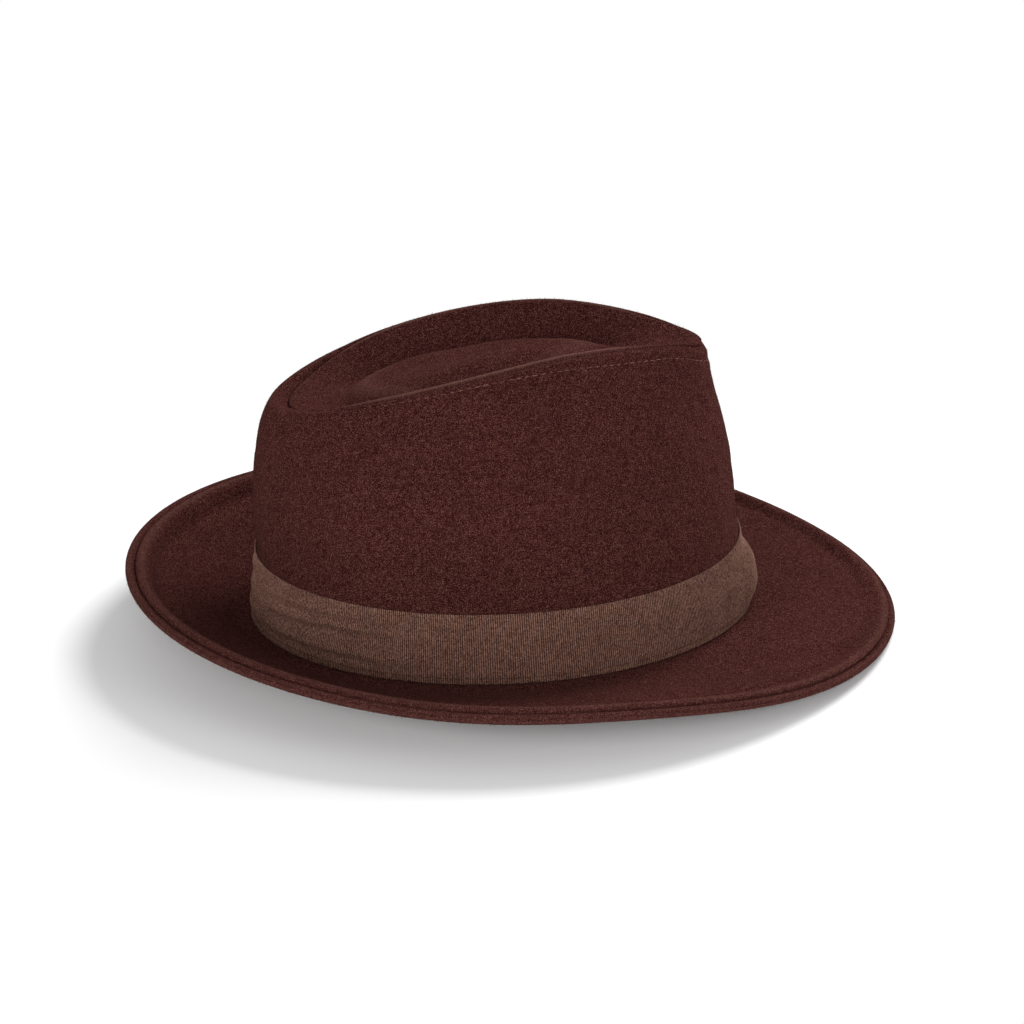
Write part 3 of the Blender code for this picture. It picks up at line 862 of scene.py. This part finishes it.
def make_brim_layer(name, node, side, felt):
    """One felt of the brim with its edge: side 1 is the top, -1 the under."""
    angle = ring(BRIM_COLUMNS)
    run, whole = closed_length(brim_ring(angle, BRIM_STITCH_INSET, 0.0))
    phase = run / whole_pitch(whole, BRIM_STITCH["pitch"]) * TAU
    curl = CURL_AT_FRONT + CURL_MORE_AT_BACK * (1 - np.cos(angle)) / 2
    sewn = (0.85 + 0.15 * np.cos(phase)) * (1 - 0.55 * smooth(np.cos(angle), 0.55, 0.95))
    inset = wide_rows(angle, LIP_INSET if side > 0 else BRIM_ROLL)
    half = np.full(inset.shape, BRIM_HALF_THICKNESS)
    fall = 1 - smooth(inset, 6.2, 11.5)
    even = np.ones(len(angle))
    if side > 0:
        half += LIP_HEIGHT * curl * fall
        rows = [(at * even, BRIM_HALF_THICKNESS + LIP_HEIGHT * curl * share) for at, share in LIP_FLANK]
        rows.append((GROOVE_AT[0] * even, blend(BEAD[0][1], GROOVE_AT[1], sewn)))
        rows += [(at * even, high * even) for at, high in BEAD]
    else:
        half += (BRIM_ROLL - BRIM_HALF_THICKNESS) * bell(inset, BRIM_ROLL, 1.5)
        half += UNDER_LIP_HEIGHT * curl * smooth(inset, 3.9, 5.3) * fall
        half -= UNDER_GROOVE_DEPTH * bell(inset, BRIM_STITCH_INSET, 0.5) * sewn
        turns = np.linspace(math.pi / 2, 0, BRIM_ROLL_ROWS)
        roll = [(1 - math.cos(turn), math.sin(turn)) for turn in turns]
        rows = [(BRIM_ROLL * out * even, max(BRIM_ROLL * up, EDGE_HEIGHT) * even) for out, up in roll]
    half -= VALLEY_DEPTH * curl * bell(inset, VALLEY_INSET, 2.2)
    uneven = 0.30 * ripples(angle, inset, seed=21 + side, count=10, waves=(4, 16), lengths=(30.0, 90.0))
    uneven += 0.08 * ripples(angle, inset, seed=31 + side, count=12, waves=(20, 60), lengths=(9.0, 25.0))
    half += uneven * smooth(inset, 5.0, 16.0) * smooth(brim_width(angle) - inset, 0.0, 14.0)
    inset = np.vstack([inset, [at for at, _ in rows]])
    half = np.vstack([half, [high for _, high in rows]])
    grid = brim_grid(angle, inset, side * half)
    # Lighter ridge crest and edge bead: rubbed-up nap, and a painted highlight
    wear_and_highlight = 0.25 * bell(inset, 4.4, 1.3) + 0.15 * bell(inset, 0.6, 0.8)
    made = add_cloth(name, grid, felt, BRIM_PLY, node, flip=side > 0, wear_and_highlight=wear_and_highlight)
    declare_cut(grid, 2 * BRIM_HALF_LENGTH, 2 * BRIM_HALF_WIDTH)
    return grid


def make_brim(felt, thread, fibre):
    top = make_brim_layer("brim_top_felt", "brim_top_layer", 1, felt)
    under = make_brim_layer("brim_under_felt", "brim_under_layer", -1, felt)
    fuzz("brim_top_fuzz", top, fibre, seed=73, flip=True)
    fuzz("brim_under_fuzz", under, fibre, seed=74)
    angle = ring(BRIM_COLUMNS)
    lines = np.stack([brim_ring(angle, BRIM_STITCH_INSET + beside, 0.0) for beside in (1.2, 0.0, -1.2)])
    up = grid_normals(lines)[1]
    up *= np.sign(up[:, 2:3])
    under_seam = (BRIM_STITCH_INSET, UNDER_STITCH_HEIGHT)
    seams = (("brim_edge_stitch_top", 1, GROOVE_AT), ("brim_edge_stitch_under", -1, under_seam))
    for name, side, (at, high) in seams:
        stitch_line(name, brim_ring(angle, at, side * high), up * side, thread, **BRIM_STITCH)


def make_stiffener(finish):
    """The sheet between the brim's two layers."""
    angle = ring(STIFFENER_COLUMNS)
    width = brim_width(angle)
    shares = np.linspace(0, 1, STIFFENER_ROWS)
    inset = blend(width - STIFFENER_FROM_HEAD, STIFFENER_FROM_EDGE, shares[:, None])
    grid = brim_grid(angle, inset, np.full(inset.shape, STIFFENER / 2))
    node, slot = "brim_stiffener", "stiffener"
    made = add_cloth("brim_stiffener_sheet", grid, finish, STIFFENER, node, flip=True)


# Hatband and bow

BAND_PER_RIB = 2  # columns of points
BAND_RIBS = 744
BAND_ROWS = 26  # between the two at each edge
BAND_OFF_FELT = 0.15
BAND_FRONT_BOW = 4.0  # how far the band bows out over the front
# Creases towards the back: level, swing, depth and spread, all but the depth as shares of the band's height
BAND_CREASES = ((0.24, 0.05, 0.9, 0.05), (0.55, -0.12, 1.0, 0.06), (0.80, 0.05, 0.7, 0.05))
BOW_ROWS = 15
TAIL_COLUMNS = 60
LOOP_COLUMNS = 160
KEEPER_COLUMNS = 72
KEEPER_ROWS = 12
BOW_OFF_BAND = 0.9  # room under the bow for the band's bows and creases
NIP = 0.20  # share of the bow's height that its middle loses


def band_stand_off(angle, height):
    """How far the ribbon stands off the felt: it bows out over the front, and wrinkles towards the back."""
    turn = wrap(angle)
    front = bell(turn, 0.0, math.radians(24))
    share = height / HATBAND_HEIGHT
    bulge = front * (BAND_FRONT_BOW * smooth(share, -0.05, 0.26) * (1 - smooth(share, 0.45, 0.80)) + 0.05)
    near_back = smooth(np.abs(turn), math.radians(100), math.radians(135))
    crease = np.zeros(np.broadcast(turn, height).shape)
    for level, swing, depth, spread in BAND_CREASES:
        middle = level + swing * np.sin(3.1 * turn + level * 9)
        crease += depth * (bell(share, middle, spread) - 0.7 * bell(share, middle - 1.9 * spread, spread))
    wave = 0.07 * ripples(turn, height, seed=41, count=9, waves=(5, 14), lengths=(10.0, 30.0))
    return bulge + near_back * crease + wave * smooth(share, 0.02, 0.2) * (1 - smooth(share, 0.8, 1.0)) + 0.12


def make_hatband(ribbon):
    crown = Crown(ring(BAND_RIBS * BAND_PER_RIB))
    low = WALL_BOTTOM + GAP
    edge = np.array([0.0, 0.5])
    between = np.linspace(1.3, HATBAND_HEIGHT - 1.3, BAND_ROWS)
    heights = np.concatenate([edge, between, HATBAND_HEIGHT - edge[::-1]])
    wall = crown.at_height((low + heights)[:, None])
    normals = grid_normals(wall)
    flat = unit(normals * np.array([1.0, 1.0, 0.15]))
    rounded = 0.12 * (bell(heights, 0.0, 0.5) + bell(heights, HATBAND_HEIGHT, 0.5))
    off = BAND_OFF_FELT + RIBBON + band_stand_off(crown.angle, heights[:, None]) - rounded[:, None]
    rib = np.cos(TAU * np.arange(len(crown.angle)) / BAND_PER_RIB)
    off = off + RIB_HEIGHT * rib
    grid = wall + flat * off[..., None]
    run, whole = closed_length(grid[len(heights) // 2])
    ribs = np.arange(len(run)) * RIB_PITCH / BAND_PER_RIB
    uv = np.stack(np.broadcast_arrays(ribs, heights[:, None]), -1)
    made = add_cloth("hatband_grosgrain", grid, ribbon, RIBBON_PLY, "hatband_ribbon", uv=uv)


def on_hatband(run, height, lift):
    """Points over the hatband at the bow: run forward along it, height over the brim, lift out from it."""
    run, height, lift = np.broadcast_arrays(run, height, lift)
    angle = math.pi / 2 - run.ravel() / HATBAND_LEVEL_FRONT
    crown = Crown(angle)
    step = 0.5
    levels = np.stack([height.ravel() - step, height.ravel(), height.ravel() + step])
    lines = crown.at_height(levels)
    beside = Crown(angle + 0.01).at_height(levels[1:2])[0]
    normal = unit(np.cross(beside - lines[1], lines[2] - lines[0]))
    off = 2 * GAP + RIBBON + BOW_OFF_BAND + lift.ravel()
    return (lines[1] + normal * off[:, None]).reshape(run.shape + (3,))


def swung(wave, power):
    """A wave from -1 to 1, with its turns made squarer by a power below 1."""
    return np.sign(wave) * np.abs(wave) ** power


def make_bow_tail(middle, ribbon):
    """The ribbon's end, which lies on the hatband and is cut on the slant."""
    low = middle - BOW_HEIGHT / 2
    rows = np.linspace(0, 1, BOW_ROWS)
    share = np.linspace(0, 1, TAIL_COLUMNS)
    start = -TAIL_LENGTH - TAIL_SLANT * (1 - rows)
    runs = start[:, None] + (TAIL_LENGTH / 2 - start)[:, None] * share
    heights = np.broadcast_to((low + rows * BOW_HEIGHT)[:, None], runs.shape)
    lift = 0.9 + RIBBON + 0.12 * np.sin(runs / 6.0)
    grid = on_hatband(runs, heights, lift)
    uv = np.stack([runs, heights - low], -1)
    faces = grid_faces(*grid.shape[:2], closed=False)[:, ::-1]
    tail = add_mesh("bow_tail_grosgrain", grid, faces, ribbon, uv)
    dress(thicken(tail, RIBBON_PLY), "bow_tail")


def make_bow_loop(middle, ribbon):
    """One closed run of ribbon, full at its ends and nipped at its middle."""
    turn = np.linspace(0, TAU, LOOP_COLUMNS, endpoint=False)
    run = BOW_LENGTH / 2 * swung(np.cos(turn), 0.55)
    fill = 0.75 + 1.75 * smooth(np.abs(run), 5.0, 20.0)
    lift = 2.4 + fill * (1 + swung(np.sin(turn), 0.8))
    nip = 1 - NIP * (1 - smooth(np.abs(run), 4.0, 18.0))
    level = middle + BOW_HEIGHT * np.linspace(-0.5, 0.5, BOW_ROWS)[:, None] * nip
    grid = on_hatband(run, level, lift)
    length, whole = closed_length(np.stack([run, lift, 0 * run], -1))
    uv = np.stack(np.broadcast_arrays(length, level - (middle - BOW_HEIGHT / 2)), -1)
    loop = add_cloth("bow_loop_grosgrain", grid, ribbon, RIBBON_PLY, "bow_loop", flip=True, uv=uv)


def make_bow_keeper(middle, ribbon):
    """The short ribbon that wraps the bow's nipped middle."""
    turn = np.linspace(0, TAU, KEEPER_COLUMNS, endpoint=False)
    tall = BOW_HEIGHT * (1 - NIP) / 2 + 0.9
    height = middle + tall * swung(np.sin(turn), 0.35)
    lift = 2.9 + 2.6 * swung(np.cos(turn), 0.35)
    across = np.linspace(-KEEPER_LENGTH / 2, KEEPER_LENGTH / 2, KEEPER_ROWS)
    grid = on_hatband(across[:, None], height, lift)
    length, whole = closed_length(np.stack([height, lift, 0 * lift], -1))
    uv = np.stack(np.broadcast_arrays(length, across[:, None] + KEEPER_LENGTH / 2), -1)
    keeper = add_cloth("bow_keeper_grosgrain", grid, ribbon, RIBBON_PLY, "bow_keeper", uv=uv)


def make_bow(ribbon):
    middle = WALL_BOTTOM + GAP + HATBAND_HEIGHT / 2
    make_bow_tail(middle, ribbon)
    make_bow_loop(middle, ribbon)
    make_bow_keeper(middle, ribbon)


# Inside

INSIDE_COLUMNS = 300
LINING_ROWS = 40
LINING_TIP_ROWS = 36
LINING_BEHIND_SWEATBAND = 7.0
LINING_OFF = FELT + GAP + 0.25  # from the felt's outer face to the lining
LINING_FROM_RIDGE = 0.4
SWEATBAND_ROWS = 26
SWEATBAND_MEASURED_ROW = 12
SWEATBAND_OFF = FELT + GAP + LINING + 2 * GAP
SWEATBAND_FOOT = ((0.0, -3.2), (0.33, -2.1), (0.67, -1.1))  # rows under the wall: share of the way up, height


def make_lining_side(crown, lining):
    behind = SWEATBAND_HEIGHT - LINING_BEHIND_SWEATBAND
    low = crown.run[np.searchsorted(crown.lines[: crown.ridge_row, :, 2].mean(1), behind)]
    share = np.linspace(0, 1, LINING_ROWS)
    lengths = low + (crown.run[crown.ridge_row] - LINING_FROM_RIDGE - low) * share[:, None]
    wall = crown.at_length(lengths)
    pleat = ripples(crown.angle, lengths, seed=51, count=10, waves=(8, 26), lengths=(60.0, 200.0))
    off = LINING_OFF + 0.22 * pleat * smooth(share, 0.0, 0.3)[:, None]
    grid = wall - grid_normals(wall) * off[..., None]
    side = add_cloth("lining_side_satin", grid, lining, LINING_PLY, "lining_side_panel")


def make_lining_tip(crown, lining):
    start = crown.run[crown.ridge_row] + LINING_FROM_RIDGE
    share = np.linspace(0, 1, LINING_TIP_ROWS)[:-1]
    lengths = start + (crown.run[-1] - start) * share[:, None]
    top = crown.at_length(lengths)
    grid = top - grid_normals(top) * LINING_OFF
    points, faces = capped(grid, crown.lines[-1].mean(0) - np.array([0, 0, LINING_OFF]))
    tip = add_mesh("lining_tip_satin", points, faces, lining)
    dress(thicken(tip, LINING_PLY), "lining_tip_panel")
    declare_cut(grid, TIP_CUT_LENGTH)


def make_sweatband(crown, twill):
    heights = np.linspace(WALL_BOTTOM, SWEATBAND_HEIGHT, SWEATBAND_ROWS)
    wall = crown.at_height(heights[:, None])
    wave = ripples(crown.angle, heights[:, None], seed=61, count=8, waves=(3, 12), lengths=(30.0, 90.0))
    off = SWEATBAND_OFF + 0.16 * wave * smooth(heights, 4.0, 16.0)[:, None]
    grid = wall - grid_normals(wall) * off[..., None]
    foot = grid[:1] - np.array([0, 0, WALL_BOTTOM + BRIM_HALF_THICKNESS - GAP])
    grid = np.concatenate([blend(foot, grid[:1], share) for share, _ in SWEATBAND_FOOT] + [grid])
    run, whole = closed_length(grid[SWEATBAND_MEASURED_ROW])
    rise = np.concatenate([[height for _, height in SWEATBAND_FOOT], heights])
    uv = np.stack(np.broadcast_arrays(run, rise[:, None]), -1)
    node, slot = "sweatband", "sweatband_twill"
    band = add_cloth("sweatband_twill_band", grid, twill, SWEATBAND_PLY, node, uv=uv)


def make_inside(lining, twill):
    crown = Crown(ring(INSIDE_COLUMNS))
    make_lining_side(crown, lining)
    make_lining_tip(crown, lining)
    make_sweatband(crown, twill)


# Loose fibres

FIBRES_PER_MM2 = 0.62
FIBRE_LENGTH = (0.5, 1.7)
FIBRE_LIFT = (0.04, 0.55)  # as a share of the length
FIBRE_HALF_WIDTH = (0.025, 0.05)
FIBRE_BEND = 0.25


def fuzz(name, grid, finish, seed, flip=False):
    """Short fibres that lie over a felt face and lift off it a little, each a thin bent strip."""
    draw = np.random.default_rng(seed)
    beside = np.roll(grid, -1, 1)
    corners = np.stack([grid[:-1], beside[:-1], beside[1:], grid[1:]], 2).reshape(-1, 4, 3)
    side, rise = corners[:, 1] - corners[:, 0], corners[:, 3] - corners[:, 0]
    cross = np.cross(side, rise) * (-1 if flip else 1)
    area = np.linalg.norm(cross, axis=-1)
    count = int(area.sum() * FIBRES_PER_MM2)
    chosen = draw.choice(len(area), count, p=area / area.sum())
    a, b = draw.random(count)[:, None], draw.random(count)[:, None]
    root = corners[chosen, 0] + side[chosen] * a + rise[chosen] * b
    normal = unit(cross[chosen])
    loose = draw.normal(size=(count, 3))
    lay = unit(loose - normal * (loose * normal).sum(-1, keepdims=True))
    length = draw.uniform(*FIBRE_LENGTH, count)[:, None]
    lift = draw.uniform(*FIBRE_LIFT, count)[:, None] ** 1.3
    across = np.cross(normal, lay) * draw.uniform(*FIBRE_HALF_WIDTH, count)[:, None]
    bend = np.cross(normal, lay) * draw.normal(0, FIBRE_BEND, count)[:, None] * length
    middle = root + lay * length * 0.55 + normal * (length * lift * 0.75 + 0.03)
    tip = root + lay * length + bend + normal * (length * lift + 0.02)
    root = root - normal * 0.05
    points = np.stack([root - across, root + across, middle + across, middle - across, tip], 1).reshape(-1, 3)
    base = np.arange(count)[:, None] * 5
    faces = (base + np.array([0, 1, 2, 3])).tolist() + (base + np.array([3, 2, 4])).tolist()
    dress(add_mesh(name, points, faces, finish), None)


# Stage, in metres

DOME = 0.38
AIM = (0.0, 0.0, 0.05)
LAMP_SIZE = 0.9
LAMPS = (
    ("left", (-1.2, -1.2, 0.6), 14.0),
    ("right", (1.3, -1.0, 0.6), 6.0),
    ("front", (0.0, -1.7, 0.6), 13.0),
    ("back", (0.7, 0.9, 1.1), 28.0),
)
FLOOR_HALF = 8.0
FLOOR_BELOW = 0.0002
FLOOR_SHADOW_TO = 0.17  # radius that keeps the shadow; from there the floor blends into the backdrop
FLOOR_WHITE_FROM = 0.34


def area_light(name, place, energy):
    lamp = bpy.data.lights.new(name, "AREA")
    lamp.shape = "DISK"
    lamp.size = LAMP_SIZE
    lamp.energy = energy
    made = add_object(name, lamp)
    made.location = place
    aim = Vector(AIM) - Vector(place)
    made.rotation_euler = aim.to_track_quat("-Z", "Y").to_euler()


def backdrop_rays(n):
    """1 for the rays that see the backdrop itself, 0 for those that only gather its light."""
    rays = n.add("ShaderNodeLightPath").outputs
    seen = n.maths("MAXIMUM", rays["Is Camera Ray"], rays["Is Glossy Ray"])
    return n.maths("MAXIMUM", seen, rays["Is Transmission Ray"])


def make_floor():
    n = Nodes("floor_paper")
    place = n.place()
    speck = n.noise(place, PAPER_SCALE, 2.0)
    n.set(Base_Color=n.ramp(speck, (0.2, 0.8), PAPER_TONES), Roughness=0.9)
    n.set(Specular_IOR_Level=0.1)
    away = n.add("ShaderNodeVectorMath", {0: place}, operation="LENGTH").outputs["Value"]
    links = {"Value": away, "From Min": FLOOR_SHADOW_TO, "From Max": FLOOR_WHITE_FROM}
    fade = n.add("ShaderNodeMapRange", links, interpolation_type="SMOOTHSTEP")
    white = n.add("ShaderNodeEmission")
    seen = n.maths("MULTIPLY", fade.outputs["Result"], backdrop_rays(n))
    both = n.add("ShaderNodeMixShader", {0: seen, 1: n.shader.outputs[0], 2: white.outputs[0]})
    n.put(n.tree.nodes["Material Output"].inputs["Surface"], both.outputs[0])
    mesh = bpy.data.meshes.new("floor")
    corners = [(FLOOR_HALF * x, FLOOR_HALF * y, 0) for x, y in ((-1, -1), (1, -1), (1, 1), (-1, 1))]
    mesh.from_pydata(corners, [], [(0, 1, 2, 3)])
    mesh.materials.append(n.material)
    floor = add_object("floor", mesh)
    floor.location = (0, 0, -FLOOR_BELOW)


def make_world():
    world = bpy.data.worlds.new("studio")
    world.use_nodes = True
    n = Nodes(None, world.node_tree)
    sky = world.node_tree.nodes["Background"]
    sky.inputs["Color"].default_value = (*WHITE, 1.0)
    level = n.maths("ADD", n.maths("MULTIPLY", backdrop_rays(n), 1.0 - DOME), DOME)
    n.put(sky.inputs["Strength"], level)
    bpy.context.scene.world = world


def make_camera():
    azimuth, elevation = math.radians(CAMERA_AZIMUTH), math.radians(CAMERA_ELEVATION)
    level = math.cos(elevation)
    back = Vector((math.sin(azimuth) * level, -math.cos(azimuth) * level, math.sin(elevation)))
    right = Vector((math.cos(azimuth), math.sin(azimuth), 0))
    up = back.cross(right)
    roll = math.radians(CAMERA_ROLL)
    right, up = right * math.cos(roll) + up * math.sin(roll), up * math.cos(roll) - right * math.sin(roll)
    spot = Vector(CAMERA_TARGET) + right * CAMERA_SHIFT[0] + up * CAMERA_SHIFT[1] + back * CAMERA_DISTANCE
    lens = bpy.data.cameras.new("photo_view")
    lens.sensor_width = SENSOR
    lens.lens = FOCAL_PIXELS * SENSOR / FRAME_PIXELS
    lens.clip_start = CLIP_START
    camera = add_object("photo_view", lens)
    turn = Matrix((right, up, back)).transposed().to_4x4()
    camera.matrix_world = Matrix.Translation(spot * MM) @ turn
    bpy.context.scene.camera = camera


def make_stage():
    bpy.context.scene.view_settings.view_transform = "Standard"
    make_floor()
    make_world()
    for lamp in LAMPS:
        area_light(*lamp)
    make_camera()


def main():
    felt = felt_material()
    fibre = fibre_material()
    ribbon = ribbon_material()
    tan_thread = thread_material("tan_thread", TAN_THREAD)
    dark_thread = thread_material("brown_thread", BROWN_THREAD)

    crown = Crown(ring(CROWN_COLUMNS))
    side = make_crown_side(crown, felt)
    tip = make_crown_tip(crown, felt)
    make_crown_stitches(crown, tan_thread)
    make_brim(felt, dark_thread, fibre)
    make_hatband(ribbon)
    make_bow(ribbon)
    make_inside(lining_material(), sweatband_material())
    fuzz("crown_side_fuzz", side, fibre, seed=71)
    fuzz("crown_tip_fuzz", tip, fibre, seed=72)

    make_stiffener(hidden_material("stiffener_cloth", STIFFENER_TONES, metallic=0.0, roughness=0.9))
    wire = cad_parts["brim_edge_wire"].data.materials
    wire.clear()
    wire.append(hidden_material("edge_wire_steel", STEEL_TONES, metallic=1.0, roughness=0.35))
    make_stage()


main()
